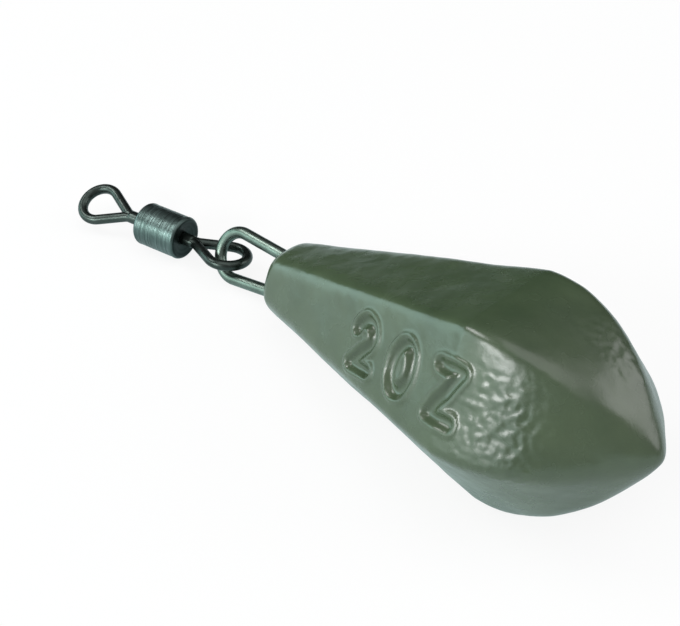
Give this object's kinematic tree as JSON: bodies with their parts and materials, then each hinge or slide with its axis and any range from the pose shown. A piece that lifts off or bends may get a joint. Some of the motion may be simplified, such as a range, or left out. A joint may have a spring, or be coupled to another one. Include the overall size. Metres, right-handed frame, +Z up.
{
  "type": "fishing sinker",
  "caption": "Six-sided pear-shaped coated fishing weight with a wire loop cast into its small end and a barrel swivel hanging on the loop.",
  "frame": {"origin": "on the resting flat, half way along the straight flank, in the lead's middle plane", "axes": "+X along the table towards the nose, +Z up, and the swivel's end towards -X; +Y completes the frame"},
  "size_m": [0.0663, 0.019, 0.0168],
  "materials": {
    "cast_lead": "as cast, dull grey",
    "coating": "olive green dipped coating, glossy, slightly wrinkled near the belly",
    "loop_wire": "drawn wire with a greyish green sheen",
    "swivel_wire": "dark plated drawn wire",
    "barrel_metal": "dark plated, fine turned lines round the barrel"
  },
  "bodies": {
    "lead": {"lead_body": "cast_lead", "body_coating": "coating", "wire_loop": "loop_wire"},
    "lead_eye": {"lead_eye": "swivel_wire"},
    "barrel": {"swivel_barrel": "barrel_metal"},
    "line_eye": {"line_eye": "swivel_wire"}
  },
  "joints": [
    {"name": "lead_eye_swing", "type": "hinge", "parent": "lead", "child": "lead_eye", "pos_m": [-0.02373, -0.00136, 0.00228], "axis": [-0.1952, 0.3336, 0.9223], "range_deg": [-145, 130]},
    {"name": "barrel_spin", "type": "hinge", "parent": "lead_eye", "child": "barrel", "pos_m": [-0.0306, -0.00314, 0.00228], "axis": [0.9681, 0.2504, 0], "continuous": true},
    {"name": "line_eye_spin", "type": "hinge", "parent": "barrel", "child": "line_eye", "pos_m": [-0.0306, -0.00314, 0.00228], "axis": [0.9681, 0.2504, 0], "continuous": true}
  ]
}
